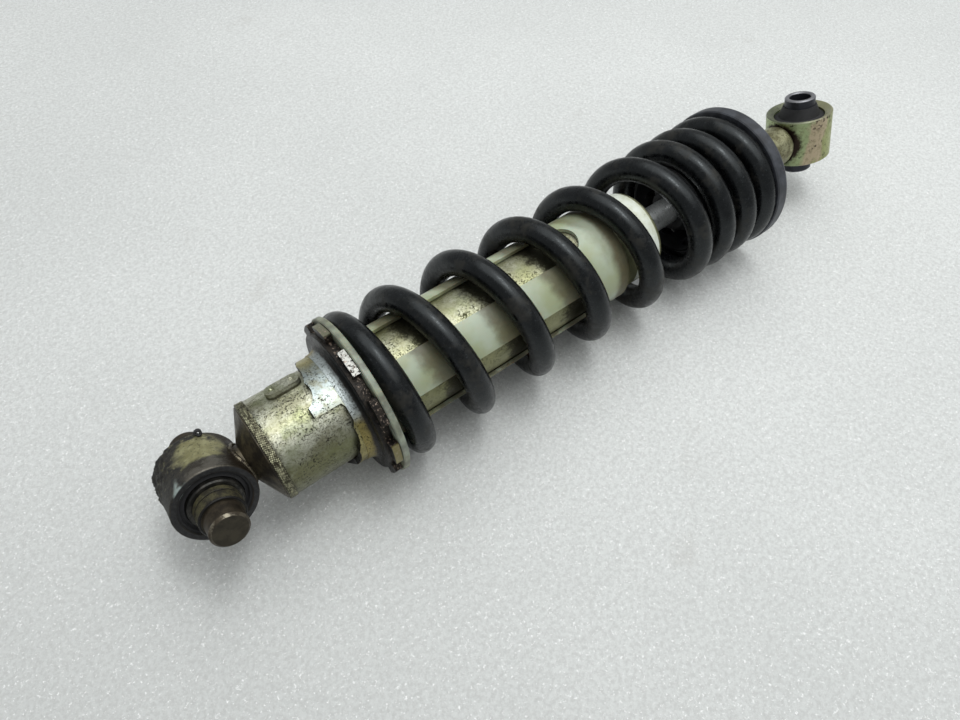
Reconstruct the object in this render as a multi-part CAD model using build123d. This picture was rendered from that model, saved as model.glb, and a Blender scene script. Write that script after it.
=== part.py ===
"""Rear shock absorber for a motorcycle: one damper inside one dual-rate coil spring.

The shock lies along X. The origin is the centre of the upper eye, the lower eye is at -X, and +Z is up
as the shock lies on a bench. Stations are distances in millimetres from the lower eye's centre towards
the upper eye. The two eyes cross at right angles, and the whole shock is rolled a little about X.
Every piece is one node in parts/, written as its own STEP file.
"""

from build123d import *
from math import cos, radians, sin
import os

# ---- overall layout ----
EYE_TO_EYE = 333.5
EYE_ROLL = 22.5

# ---- running and assembly gaps ----
RUNNING_GAP = 0.05
SLIDING_GAP = 0.3
PRESS_GAP = 0.01

# ---- lower eye and its pivot ----
EYE_R = 15.4
EYE_BORE_R = 13.0
EYE_HALF = 11.9
BEARING_HALF = 8.0
BEARING_WALL = 1.0
ROLLER_R = 0.96
ROLLER_COUNT = 18
SLEEVE_R = 10.0
SLEEVE_HALF = 12.6
SPACER_R = 8.4
SPACER_END = 20.3
SEAL_START = 8.2
SEAL_END = 10.9
PIN_R = 7.0
PIN_MIDDLE_R = 7.5
PIN_HALF = 28.1
PIN_CHAMFER = 0.9

# ---- damper body ----
TUBE_R = 20.0
TUBE_BORE_R = 18.0
TUBE_START = 21.9
TUBE_END = 211.5
KNURL_END = 25.4
KNURL_R = 20.15
RIM_LIP_R = 16.6
RIM_ROUND = 1.8
NECK_R = 7.5
NECK_START = 15.6
PLUG_END = 30.0
LABEL_START = 196.0
LABEL_END = 209.3
LABEL_THICK = 0.12
DIMPLE_R = 1.0
CYLINDER_R = 15.2
CYLINDER_BORE_R = 14.0
CYLINDER_END = 196.0

# ---- preload lugs and adjuster ----
LUG_ANGLES = (68.7, 248.7)
LUG_WIDTH = 5.8
LUG_TIP = 46.3
LUG_LENGTH = 13.8
LUG_TOP_R = 22.6
CAM_BORE_R = 20.4
CAM_R = 22.9
CAM_EDGE = 42.0
CAM_TOP = 60.4
CAM_POSITIONS = 6
CAM_STEP_DEG = 30.0
CAM_STEP = 1.6
CAM_REST_POSITION = 4
CAM_LUG_GAP = 1.3
CAM_CREST = 0.8
CAM_NOTCH_OVERLAP = 0.15
CAM_RISER_DEG = 10.2
CAM_TAB_DEG = 9.0
CAM_TAB_LIP = 0.6
COLLAR_R = 33.4
COLLAR_FLARE_START = 53.6
COLLAR_FLARE_R = 26.2
COLLAR_START = 58.1
COLLAR_PLATE_END = 59.6
COLLAR_PLATE_R = 30.0
COLLAR_LIP = 0.3
COLLAR_END = 62.5
COLLAR_GAP_R = 29.4
COLLAR_TEETH = 10
COLLAR_TOOTH_DEG = 19.0
COLLAR_FIRST_TOOTH = 100.0

# ---- nylon spring guide ----
GUIDE_R = 22.1
GUIDE_BORE_R = 20.4
GUIDE_FLANGE_R = 34.2
GUIDE_START = 62.8
GUIDE_SEAT = 65.4
GUIDE_END = 189.0
WINDOW_START = 70.0
WINDOW_END = 173.5
WINDOW_COUNT = 4
WINDOW_FIRST = 87.0
WINDOW_DEG = 45.0

# ---- coil spring ----
SPRING_R = 33.5
WIRE_R = 5.4
SPRING_LOW = 65.6
SPRING_HIGH = 272.0
SPRING_FIRST_DEG = -155.0
SPRING_LAST_DEG = 3235.0
SPRING_FIRST_STATION = 63.2
CLOSED_PITCH = 11.05
WIDE_PITCH = 31.4
TIGHT_PITCH = 14.2
# angle at which each change of pitch starts and ends
FIRST_CHANGE = (105.0, 322.0)
SECOND_CHANGE = (1917.0, 2037.0)
LAST_CHANGE = (2960.0, 3010.0)
POINTS_PER_TURN = 12

# ---- rod side ----
ROD_R = 6.25
ROD_START = 150.0
PISTON_START = 152.0
PISTON_END = 166.0
PISTON_R = 13.9
SHIM_THICK = 0.6
TOP_OUT_END = 184.5
GUIDE_BUSH_START = 186.0
OIL_SEAL_START = 200.0
OIL_SEAL_END = 205.5
END_CAP_END = 209.5
BUMP_START = 236.0
BUMP_END = 269.0
BUMP_R = 15.0
WASHER_R = 17.5
CAGE_START = 236.0
CAGE_R = 22.1
CAGE_BORE_R = 20.5
CAGE_SLOTS = 8
CAGE_SLOT_WIDTH = 9.0
SEAT_R = 34.1
SEAT_FACE = 272.3
SEAT_END = 279.1
SEAT_EDGE = 0.5
SEAT_ROUND = 1.5
STEM_R = 10.0
STEM_DOME = 6.0
STEM_WELD = 2.6

# ---- upper eye ----
UPPER_EYE_R = 15.8
UPPER_EYE_HALF = 11.6
UPPER_BORE_R = 12.2
UPPER_MOUTH_R = 14.9
UPPER_MOUTH_DEPTH = 1.7
UPPER_EYE_BEVEL = 0.5
BUSH_SKIRT = 3.4
UPPER_SLEEVE_R = 7.3
UPPER_SLEEVE_HALF = 19.2
UPPER_SLEEVE_BORE_R = 5.1

UPPER_EYE = Rot(X=-EYE_ROLL) * Rot(Y=-90)
LOWER_EYE = Pos(-EYE_TO_EYE, 0, 0) * Rot(X=90 - EYE_ROLL) * Rot(Y=-90)
SHOCK = Pos(-EYE_TO_EYE, 0, 0)


def turned(points):
    """A solid turned about X from a closed outline of (station, radius) points."""
    outline = Polyline(*[(station, radius) for station, radius in points], close=True)
    return revolve(make_face(outline), Axis.X, 360)


def ring(start, end, outer, inner):
    """A plain ring about X."""
    return turned([(start, inner), (end, inner), (end, outer), (start, outer)])


def bevelled_ring(start, end, outer, inner, bevel):
    """A ring about X whose outer corners are bevelled."""
    return turned(
        [
            (start, inner),
            (end, inner),
            (end, outer - bevel),
            (end - bevel, outer),
            (start + bevel, outer),
            (start, outer - bevel),
        ]
    )


def rounded_rod(start, end, radius, bevel):
    """A solid shaft about X with bevelled ends."""
    return turned(
        [
            (start, 0),
            (end, 0),
            (end, radius - bevel),
            (end - bevel, radius),
            (start + bevel, radius),
            (start, radius - bevel),
        ]
    )


def sector(start, end, outer, inner, centre_deg, width_deg):
    """A piece of a ring about X that covers width_deg around centre_deg, counted from +Y towards +Z."""
    half = radians(width_deg / 2)
    reach = outer * 1.5
    wedge = Polyline(
        (0, 0),
        (reach * cos(half), -reach * sin(half)),
        (reach * 1.2, 0),
        (reach * cos(half), reach * sin(half)),
        close=True,
    )
    prism = Plane.YZ * make_face(wedge)
    prism = Pos(start, 0, 0) * extrude(prism, end - start, dir=(1, 0, 0))
    return (Rot(X=centre_deg) * prism) & ring(start, end, outer, inner)


def radial(shape_xy, angle_deg, low, high):
    """A flat outline (x = station, y = sideways) raised from radius low to radius high at an angle."""
    face = Pos(0, 0, low) * shape_xy
    return Rot(X=angle_deg - 90) * extrude(face, high - low, dir=(0, 0, 1))


# ---- lower eye ----
def lower_eye_barrel():
    outer = bevelled_ring(-EYE_HALF, EYE_HALF, EYE_R, EYE_BORE_R, 0.7)
    return LOWER_EYE * outer


def bearing_cup():
    wall = EYE_BORE_R - BEARING_WALL
    lip = SLEEVE_R + 0.5
    end = BEARING_HALF
    inside = BEARING_HALF - BEARING_WALL
    cup = turned(
        [
            (-end, lip),
            (-inside, lip),
            (-inside, wall),
            (inside, wall),
            (inside, lip),
            (end, lip),
            (end, EYE_BORE_R - PRESS_GAP),
            (-end, EYE_BORE_R - PRESS_GAP),
        ]
    )
    return LOWER_EYE * cup


def needle_rollers():
    length = 2 * (BEARING_HALF - BEARING_WALL) - 0.6
    middle = SLEEVE_R + 1.0
    rollers = []
    for index in range(ROLLER_COUNT):
        roller = rounded_rod(-length / 2, length / 2, ROLLER_R, 0.2)
        rollers.append(LOWER_EYE * Rot(X=360 * index / ROLLER_COUNT) * Pos(0, 0, middle) * roller)
    return rollers


def lip_seal(side):
    seal = turned(
        [
            (SEAL_START, EYE_BORE_R - PRESS_GAP),
            (SEAL_END, EYE_BORE_R - PRESS_GAP),
            (SEAL_END, EYE_BORE_R - 0.9),
            (SEAL_END - 0.8, EYE_BORE_R - 1.4),
            (SEAL_END - 0.2, SLEEVE_R + 0.5),
            (SEAL_END - 0.9, SLEEVE_R + RUNNING_GAP),
            (SEAL_START + 0.4, SLEEVE_R + RUNNING_GAP),
            (SEAL_START, SLEEVE_R + 0.6),
        ]
    )
    return LOWER_EYE * (Rot(Z=0 if side > 0 else 180) * seal)


def pivot_sleeve():
    return LOWER_EYE * bevelled_ring(-SLEEVE_HALF, SLEEVE_HALF, SLEEVE_R, PIN_MIDDLE_R + PRESS_GAP, 0.5)


def pivot_spacer(side):
    start = SLEEVE_HALF + PRESS_GAP
    spacer = bevelled_ring(start, SPACER_END, SPACER_R, PIN_MIDDLE_R + PRESS_GAP, 0.4)
    return LOWER_EYE * (Rot(Z=0 if side > 0 else 180) * spacer)


def pivot_pin():
    middle = ring(-SPACER_END, SPACER_END, PIN_MIDDLE_R, 0)
    return LOWER_EYE * (rounded_rod(-PIN_HALF, PIN_HALF, PIN_R, PIN_CHAMFER) + middle)


# ---- damper body ----
def lower_end_cap():
    cap = turned(
        [
            (EYE_R * 0.6, 0),
            (EYE_R * 0.6, NECK_R),
            (NECK_START, NECK_R),
            (TUBE_START - 0.4, TUBE_R - 0.5),
            (TUBE_START, TUBE_R - 0.5),
            (TUBE_START, TUBE_BORE_R - PRESS_GAP),
            (PLUG_END, TUBE_BORE_R - PRESS_GAP),
            (PLUG_END, 0),
        ]
    )
    saddle = LOWER_EYE * ring(-EYE_R * 2, EYE_R * 2, EYE_R + PRESS_GAP, 0)
    return SHOCK * cap - saddle


def damper_tube():
    lip = TUBE_END - RIM_ROUND
    rim = []
    for step in range(7):
        turn = radians(15 * step)
        rim.append((lip + RIM_ROUND * sin(turn), TUBE_R - RIM_ROUND + RIM_ROUND * cos(turn)))
    outline = [
        (TUBE_START, TUBE_BORE_R),
        (END_CAP_END, TUBE_BORE_R),
        (END_CAP_END, RIM_LIP_R),
        (TUBE_END, RIM_LIP_R),
        *reversed(rim),
        (KNURL_END + 0.3, TUBE_R),
        (KNURL_END, KNURL_R),
        (TUBE_START + 0.6, KNURL_R),
        (TUBE_START, KNURL_R - 0.6),
    ]
    tube = SHOCK * turned(outline)
    for station, angle in ((111.8, 105.3), (138.2, 88.6)):
        dimple = Rot(X=angle - 90) * Pos(station - EYE_TO_EYE, 0, TUBE_R + 0.2) * Sphere(DIMPLE_R)
        tube -= dimple
    return tube


def stop_lugs():
    lugs = []
    straight = LUG_LENGTH - LUG_WIDTH
    middle = LUG_TIP - LUG_LENGTH / 2
    for angle in LUG_ANGLES:
        outline = Pos(middle, 0) * SlotCenterToCenter(straight, LUG_WIDTH)
        lug = radial(outline, angle, TUBE_R - 2.0, LUG_TOP_R)
        lug -= ring(0, 2 * LUG_TIP, TUBE_R + PRESS_GAP, 0)
        for offset in (-straight / 2, straight / 2):
            pit = Rot(X=angle - 90) * Pos(middle + offset, 0, LUG_TOP_R + 0.5) * Sphere(1.2)
            lug -= pit
        lugs.append(SHOCK * lug)
    return lugs


def label_band():
    return SHOCK * sector(
        LABEL_START, LABEL_END, TUBE_R + PRESS_GAP + LABEL_THICK, TUBE_R + PRESS_GAP, 118, 150
    )


def inner_cylinder():
    return SHOCK * ring(PLUG_END + 6.0, CYLINDER_END, CYLINDER_R, CYLINDER_BORE_R)


def base_valve_body():
    body = turned(
        [
            (PLUG_END, 0),
            (PLUG_END, TUBE_BORE_R - 0.4),
            (PLUG_END + 2.0, TUBE_BORE_R - 0.4),
            (PLUG_END + 6.0, CYLINDER_R),
            (PLUG_END + 6.0, CYLINDER_BORE_R - PRESS_GAP),
            (PLUG_END + 10.0, CYLINDER_BORE_R - PRESS_GAP),
            (PLUG_END + 10.0, 0),
        ]
    )
    for index in range(6):
        passage = Rot(X=60 * index) * Pos(PLUG_END + 8, 0, 8.5) * Rot(Y=90) * Cylinder(1.4, 6)
        body -= passage
    return SHOCK * body


def base_valve_disc():
    return SHOCK * ring(PLUG_END + 10.0 + PRESS_GAP, PLUG_END + 10.8, 11.0, 2.0)


def rod_guide():
    guide = turned(
        [
            (GUIDE_BUSH_START, ROD_R + RUNNING_GAP),
            (OIL_SEAL_START, ROD_R + RUNNING_GAP),
            (OIL_SEAL_START, TUBE_BORE_R - PRESS_GAP),
            (CYLINDER_END, TUBE_BORE_R - PRESS_GAP),
            (CYLINDER_END, CYLINDER_BORE_R - PRESS_GAP),
            (GUIDE_BUSH_START, CYLINDER_BORE_R - PRESS_GAP),
        ]
    )
    return SHOCK * guide


def oil_seal():
    return SHOCK * ring(OIL_SEAL_START, OIL_SEAL_END, TUBE_BORE_R - PRESS_GAP, ROD_R + RUNNING_GAP)


def tube_end_cap():
    cap = turned(
        [
            (OIL_SEAL_END, ROD_R + SLIDING_GAP),
            (END_CAP_END, ROD_R + SLIDING_GAP),
            (END_CAP_END, TUBE_BORE_R - PRESS_GAP),
            (OIL_SEAL_END, TUBE_BORE_R - PRESS_GAP),
        ]
    )
    return SHOCK * cap


def dust_wiper():
    wiper = turned(
        [
            (END_CAP_END, ROD_R + RUNNING_GAP),
            (END_CAP_END + 3.2, ROD_R + RUNNING_GAP),
            (END_CAP_END + 3.2, ROD_R + 1.0),
            (END_CAP_END + 1.2, 11.0),
            (END_CAP_END, 11.0),
        ]
    )
    return SHOCK * wiper


# ---- adjuster ----
def cam_notch(position, lug_angle):
    """The cutter for one notch of the cam: a scallop whose deepest point takes the lug at that position."""
    rest_depth = LUG_TIP + CAM_LUG_GAP
    deepest = rest_depth + (CAM_REST_POSITION - position) * CAM_STEP
    middle_deg = lug_angle - CAM_STEP_DEG * (CAM_REST_POSITION - position)
    half = CAM_STEP_DEG / 2
    left, right = half, half
    if position == 0:
        left = CAM_RISER_DEG
    if position == CAM_POSITIONS - 1:
        right = CAM_TAB_DEG
    low_crest = deepest + CAM_STEP / 2 - CAM_CREST
    high_crest = deepest - CAM_STEP / 2 - CAM_CREST
    if position == 0:
        low_crest = deepest - CAM_LUG_GAP
    if position == CAM_POSITIONS - 1:
        high_crest = CAM_EDGE + CAM_TAB_LIP
    # in a radial outline +y lies towards smaller angles, and neighbours just overlap at the outer wall
    reach = CAM_R + CAM_NOTCH_OVERLAP
    left_y = reach * sin(radians(left))
    right_y = -reach * sin(radians(right))
    scallop = ThreePointArc((low_crest, left_y), (deepest, 0), (high_crest, right_y))
    sides = Polyline(
        (high_crest, right_y), (CAM_EDGE - 1, right_y), (CAM_EDGE - 1, left_y), (low_crest, left_y)
    )
    outline = make_face(Curve() + [scallop, sides])
    return radial(outline, middle_deg, CAM_BORE_R - 4, CAM_R + 2)


def cam_sleeve():
    sleeve = turned(
        [
            (CAM_EDGE, CAM_BORE_R),
            (CAM_TOP, CAM_BORE_R),
            (CAM_TOP, CAM_R),
            (CAM_EDGE + 0.3, CAM_R),
            (CAM_EDGE, CAM_R - 0.3),
        ]
    )
    for lug_angle in LUG_ANGLES:
        for position in range(CAM_POSITIONS):
            sleeve -= cam_notch(position, lug_angle)
    return SHOCK * sleeve


def spanner_collar():
    # the throat sweeps out from the cam to the plate in a quarter of an ellipse
    throat = []
    for step in range(7):
        turn = radians(15 * step)
        station = COLLAR_FLARE_START + (COLLAR_START - COLLAR_FLARE_START) * sin(turn)
        throat.append((station, COLLAR_FLARE_R - (COLLAR_FLARE_R - CAM_R - COLLAR_LIP) * cos(turn)))
    body = turned(
        [
            (COLLAR_FLARE_START, CAM_R + PRESS_GAP),
            (COLLAR_END, CAM_R + PRESS_GAP),
            (COLLAR_END, COLLAR_GAP_R),
            (COLLAR_PLATE_END, COLLAR_GAP_R),
            (COLLAR_PLATE_END, COLLAR_PLATE_R),
            (COLLAR_START + COLLAR_LIP, COLLAR_PLATE_R),
            (COLLAR_START, COLLAR_PLATE_R - COLLAR_LIP),
            *reversed(throat),
        ]
    )
    for index in range(COLLAR_TEETH):
        angle = COLLAR_FIRST_TOOTH + 360 / COLLAR_TEETH * index
        tooth = sector(
            COLLAR_PLATE_END, COLLAR_END, COLLAR_R, COLLAR_GAP_R - 1, angle, COLLAR_TOOTH_DEG
        )
        body += tooth
    return SHOCK * body


# ---- nylon spring guide ----
def nylon_spring_guide():
    guide = turned(
        [
            (GUIDE_START, GUIDE_BORE_R),
            (GUIDE_END, GUIDE_BORE_R),
            (GUIDE_END, GUIDE_R - 0.5),
            (GUIDE_END - 0.5, GUIDE_R),
            (GUIDE_SEAT + 0.4, GUIDE_R),
            (GUIDE_SEAT, GUIDE_R + 0.4),
            (GUIDE_SEAT, GUIDE_FLANGE_R - 0.4),
            (GUIDE_SEAT - 0.4, GUIDE_FLANGE_R),
            (GUIDE_START + 0.4, GUIDE_FLANGE_R),
            (GUIDE_START, GUIDE_FLANGE_R - 0.4),
        ]
    )
    half_width = GUIDE_R * sin(radians(WINDOW_DEG / 2))
    round_centre = WINDOW_END - half_width
    straight = round_centre - WINDOW_START
    window = Pos(WINDOW_START + straight / 2, 0) * Rectangle(straight, 2 * half_width)
    window += Pos(round_centre, 0) * Circle(half_width)
    for index in range(WINDOW_COUNT):
        angle = WINDOW_FIRST + 360 / WINDOW_COUNT * index
        guide -= radial(window, angle, GUIDE_BORE_R - 8, GUIDE_R + 3)
    return SHOCK * guide


# ---- coil spring ----
def pitch_change(angle, change, before, after):
    """Rise gained past a change of pitch, over the rise that the first pitch alone would give."""
    start, end = change
    if angle <= start:
        return 0.0
    inside = min(angle, end) - start
    rise = (after - before) * inside * inside / (2 * (end - start)) / 360
    if angle > end:
        rise += (after - before) * (angle - end) / 360
    return rise


def spring_station(angle):
    """Station of the wire's centre at an angle counted along the whole spring."""
    station = SPRING_FIRST_STATION + CLOSED_PITCH * (angle - SPRING_FIRST_DEG) / 360
    station += pitch_change(angle, FIRST_CHANGE, CLOSED_PITCH, WIDE_PITCH)
    station += pitch_change(angle, SECOND_CHANGE, WIDE_PITCH, TIGHT_PITCH)
    station += pitch_change(angle, LAST_CHANGE, TIGHT_PITCH, CLOSED_PITCH)
    return station


def coil_spring():
    middle = SPRING_R - WIRE_R
    count = int((SPRING_LAST_DEG - SPRING_FIRST_DEG) / 360 * POINTS_PER_TURN)
    route = []
    for index in range(count + 1):
        angle = SPRING_FIRST_DEG + (SPRING_LAST_DEG - SPRING_FIRST_DEG) * index / count
        turn = radians(angle)
        route.append((spring_station(angle), middle * cos(turn), middle * sin(turn)))
    path = Spline(*route)
    section = Plane(origin=path @ 0, z_dir=path % 0) * Circle(WIRE_R)
    wire = sweep(section, path=path, binormal=None, is_frenet=True)
    space = ring(SPRING_LOW, SPRING_HIGH, SPRING_R + 10, 10)
    return SHOCK * (wire & space)


# ---- rod side ----
def piston_rod():
    return SHOCK * rounded_rod(ROD_START, SEAT_END, ROD_R, 0.6)


def piston():
    return SHOCK * ring(PISTON_START + 4, PISTON_END, PISTON_R, ROD_R + PRESS_GAP)


def piston_nut():
    hexagon = Plane.YZ * RegularPolygon(9.0, 6)
    nut = Pos(PISTON_START - 4, 0, 0) * extrude(hexagon, 7.0, dir=(1, 0, 0))
    return SHOCK * (nut - ring(PISTON_START - 6, PISTON_START + 6, ROD_R + PRESS_GAP, 0))


def valve_shims(start, outer):
    return SHOCK * ring(start + PRESS_GAP, start + SHIM_THICK, outer, ROD_R + PRESS_GAP)


def top_out_bumper():
    return SHOCK * ring(PISTON_END + 2.0, TOP_OUT_END, 11.0, ROD_R + PRESS_GAP)


def bump_stop():
    length = BUMP_END - BUMP_START
    bumper = turned(
        [
            (BUMP_START, ROD_R + SLIDING_GAP),
            (BUMP_END, ROD_R + SLIDING_GAP),
            (BUMP_END, BUMP_R + 1.0),
            (BUMP_END - length * 0.30, BUMP_R),
            (BUMP_END - length * 0.38, BUMP_R - 2.5),
            (BUMP_END - length * 0.46, BUMP_R - 0.5),
            (BUMP_END - length * 0.70, BUMP_R - 1.5),
            (BUMP_END - length * 0.78, BUMP_R - 4.0),
            (BUMP_END - length * 0.86, BUMP_R - 2.5),
            (BUMP_START + 1.5, BUMP_R - 4.0),
            (BUMP_START, BUMP_R - 5.5),
        ]
    )
    return SHOCK * bumper


def bump_washer():
    return SHOCK * ring(BUMP_END + PRESS_GAP, BUMP_END + 1.8, WASHER_R, ROD_R + PRESS_GAP)


def slotted_upper_guide():
    guide = turned(
        [
            (CAGE_START, CAGE_BORE_R),
            (SEAT_FACE - 1.4, CAGE_BORE_R),
            (SEAT_FACE - 1.4, ROD_R + PRESS_GAP),
            (SEAT_FACE - PRESS_GAP, ROD_R + PRESS_GAP),
            (SEAT_FACE - PRESS_GAP, CAGE_R),
            (CAGE_START + 0.5, CAGE_R),
            (CAGE_START, CAGE_R - 0.5),
        ]
    )
    low = CAGE_START + 5.0
    high = SEAT_FACE - 5.0
    slot = Pos((low + high) / 2, 0) * SlotOverall(high - low, CAGE_SLOT_WIDTH)
    for index in range(CAGE_SLOTS):
        guide -= radial(slot, 360 / CAGE_SLOTS * index + 10, CAGE_BORE_R - 4, CAGE_R + 2)
    return SHOCK * guide


def upper_spring_seat():
    seat = turned(
        [
            (SEAT_FACE, ROD_R + PRESS_GAP),
            (SEAT_FACE, SEAT_R - SEAT_EDGE),
            (SEAT_FACE + SEAT_EDGE, SEAT_R),
            (SEAT_END - SEAT_ROUND, SEAT_R),
            (SEAT_END - SEAT_EDGE, SEAT_R - SEAT_EDGE),
            (SEAT_END, SEAT_R - SEAT_ROUND),
            (SEAT_END, ROD_R + PRESS_GAP),
        ]
    )
    return SHOCK * seat


def upper_stem():
    base = SEAT_END + PRESS_GAP
    tip = EYE_TO_EYE - UPPER_EYE_R + STEM_WELD
    flare = [(base, 0), (base, STEM_R + 2.5), (base + 3, STEM_R + 1.0), (base + 5, STEM_R)]
    stem = turned([*flare, (tip, STEM_R), (tip, 0)])
    end_edge = stem.edges().filter_by(GeomType.CIRCLE).sort_by(Axis.X)[-1]
    stem = fillet(end_edge, STEM_DOME)
    saddle = UPPER_EYE * ring(-UPPER_EYE_R * 2, UPPER_EYE_R * 2, UPPER_EYE_R + PRESS_GAP, 0)
    return SHOCK * stem - saddle


# ---- upper eye ----
def upper_eye_barrel():
    half = UPPER_EYE_HALF
    barrel = turned(
        [
            (-half, UPPER_MOUTH_R),
            (-half + UPPER_MOUTH_DEPTH, UPPER_BORE_R),
            (half - UPPER_MOUTH_DEPTH, UPPER_BORE_R),
            (half, UPPER_MOUTH_R),
            (half, UPPER_EYE_R - UPPER_EYE_BEVEL),
            (half - UPPER_EYE_BEVEL, UPPER_EYE_R),
            (-half + UPPER_EYE_BEVEL, UPPER_EYE_R),
            (-half, UPPER_EYE_R - UPPER_EYE_BEVEL),
        ]
    )
    return UPPER_EYE * barrel


def upper_rubber_bush():
    half = UPPER_EYE_HALF
    inner = UPPER_SLEEVE_R + RUNNING_GAP
    outer = UPPER_BORE_R - PRESS_GAP
    rubber = turned(
        [
            (-half - BUSH_SKIRT, inner),
            (half + BUSH_SKIRT, inner),
            (half + BUSH_SKIRT, inner + 0.6),
            (half - 1.6, inner + 2.6),
            (half - 2.8, outer),
            (-half + 2.8, outer),
            (-half + 1.6, inner + 2.6),
            (-half - BUSH_SKIRT, inner + 0.6),
        ]
    )
    return UPPER_EYE * rubber


def upper_inner_sleeve():
    half = UPPER_SLEEVE_HALF
    bevel = 0.5
    sleeve = turned(
        [
            (-half, UPPER_SLEEVE_BORE_R + bevel),
            (-half + bevel, UPPER_SLEEVE_BORE_R),
            (half - bevel, UPPER_SLEEVE_BORE_R),
            (half, UPPER_SLEEVE_BORE_R + bevel),
            (half, UPPER_SLEEVE_R - bevel),
            (half - bevel, UPPER_SLEEVE_R),
            (-half + bevel, UPPER_SLEEVE_R),
            (-half, UPPER_SLEEVE_R - bevel),
        ]
    )
    return UPPER_EYE * sleeve


NODES = {
    "lower_eye_barrel": lower_eye_barrel,
    "bearing_cup": bearing_cup,
    "needle_rollers": needle_rollers,
    "near_lip_seal": lambda: lip_seal(1),
    "far_lip_seal": lambda: lip_seal(-1),
    "pivot_sleeve": pivot_sleeve,
    "near_spacer": lambda: pivot_spacer(1),
    "far_spacer": lambda: pivot_spacer(-1),
    "pivot_pin": pivot_pin,
    "lower_end_cap": lower_end_cap,
    "damper_tube": damper_tube,
    "stop_lugs": stop_lugs,
    "label_band": label_band,
    "inner_cylinder": inner_cylinder,
    "base_valve_body": base_valve_body,
    "base_valve_disc": base_valve_disc,
    "rod_guide": rod_guide,
    "oil_seal": oil_seal,
    "tube_end_cap": tube_end_cap,
    "dust_wiper": dust_wiper,
    "cam_sleeve": cam_sleeve,
    "spanner_collar": spanner_collar,
    "nylon_spring_guide": nylon_spring_guide,
    "coil_spring": coil_spring,
    "piston_rod": piston_rod,
    "piston": piston,
    "piston_nut": piston_nut,
    "compression_shims": lambda: valve_shims(PISTON_START + 3.2, 11.5),
    "rebound_shims": lambda: valve_shims(PISTON_END, 11.5),
    "top_out_bumper": top_out_bumper,
    "bump_stop": bump_stop,
    "bump_washer": bump_washer,
    "slotted_upper_guide": slotted_upper_guide,
    "upper_spring_seat": upper_spring_seat,
    "upper_stem": upper_stem,
    "upper_eye_barrel": upper_eye_barrel,
    "upper_rubber_bush": upper_rubber_bush,
    "upper_inner_sleeve": upper_inner_sleeve,
}


def main():
    os.makedirs("parts", exist_ok=True)
    for name, make in NODES.items():
        piece = make()
        if isinstance(piece, list):
            piece = Compound(children=[solid for part in piece for solid in part.solids()])
        export_step(piece, f"parts/{name}.step")


main()
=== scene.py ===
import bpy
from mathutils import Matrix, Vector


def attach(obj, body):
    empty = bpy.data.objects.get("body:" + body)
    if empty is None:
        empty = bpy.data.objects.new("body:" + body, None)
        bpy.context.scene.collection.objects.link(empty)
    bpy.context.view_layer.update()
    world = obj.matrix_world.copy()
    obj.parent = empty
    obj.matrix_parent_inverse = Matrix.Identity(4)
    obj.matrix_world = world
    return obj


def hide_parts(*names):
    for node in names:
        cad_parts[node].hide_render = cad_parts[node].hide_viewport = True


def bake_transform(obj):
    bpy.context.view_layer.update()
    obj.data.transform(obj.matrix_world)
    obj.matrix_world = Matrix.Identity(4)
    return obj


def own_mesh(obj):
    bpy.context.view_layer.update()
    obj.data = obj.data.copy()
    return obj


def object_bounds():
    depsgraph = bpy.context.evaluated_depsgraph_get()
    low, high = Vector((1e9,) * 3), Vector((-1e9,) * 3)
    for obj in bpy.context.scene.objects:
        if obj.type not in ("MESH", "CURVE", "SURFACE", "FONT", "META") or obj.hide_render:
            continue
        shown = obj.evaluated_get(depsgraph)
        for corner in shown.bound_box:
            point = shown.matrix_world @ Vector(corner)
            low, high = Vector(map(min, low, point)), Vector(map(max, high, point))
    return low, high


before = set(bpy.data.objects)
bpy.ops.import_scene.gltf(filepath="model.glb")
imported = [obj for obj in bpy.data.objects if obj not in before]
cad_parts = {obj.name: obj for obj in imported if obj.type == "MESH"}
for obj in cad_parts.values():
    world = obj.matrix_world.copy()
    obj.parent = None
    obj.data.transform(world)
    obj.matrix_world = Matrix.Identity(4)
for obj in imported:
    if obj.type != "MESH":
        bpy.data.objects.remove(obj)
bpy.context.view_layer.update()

import math

import bpy
from mathutils import Matrix, Vector, noise

# The shock lies along X with its upper eye at the origin. Stations are mm from the lower eye's centre.
MM = 0.001
EYE_TO_EYE = 333.5
LOWER_EYE = Vector((-EYE_TO_EYE * MM, 0, 0))
# the shock lies rolled about X: NEAR is the way the pivot pin's near end points, CROSS the upper eye's axis
EYE_ROLL = math.radians(22.5)
NEAR = Vector((0, -math.cos(EYE_ROLL), math.sin(EYE_ROLL)))
CROSS = Vector((0, math.sin(EYE_ROLL), math.cos(EYE_ROLL)))

# the lower eye's barrel
EYE_HALF = 11.9
EYE_BORE = 13.0
EYE_R = 15.4
EYE_EDGE = 0.7
# grime is added only outside this radius
CRUST_R = 14.0
# the torn curl's centre: along the pin, across it, and along the shock
CURL_PLACE = Vector((-10.2, 14.7, 6.7))
CURL_LEAN = math.radians(25)
CURL_THICKNESS = 0.9
NECK_R = 8.2
WELD_R = 8.0

# the knurl on the tube's lower end
KNURL_LOW = 21.95
KNURL_HIGH = 25.3
KNURL_R = 20.10
KNURL_DEPTH = 0.30
KNURL_LINES = 72
KNURL_SLANT = 3.9
KNURL_COLUMNS = 900

# the spring: the angle of a point on its wire runs from +Y towards +Z, and its pitch changes three times
SPRING_R = 33.5
WIRE_R = 5.4
SPRING_LOW = 65.6
SPRING_HIGH = 272.0
SPRING_START = 63.2
SPRING_FIRST = -155.0
SPRING_LAST = 3235.0
SPRING_CUT = 630.0
TIGHT_PITCH = 11.05
WIDE_PITCH = 31.4
PITCHES = (TIGHT_PITCH, WIDE_PITCH, 14.2, TIGHT_PITCH)
CHANGES = ((105.0, 322.0), (1917.0, 2037.0), (2960.0, 3010.0))
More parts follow.
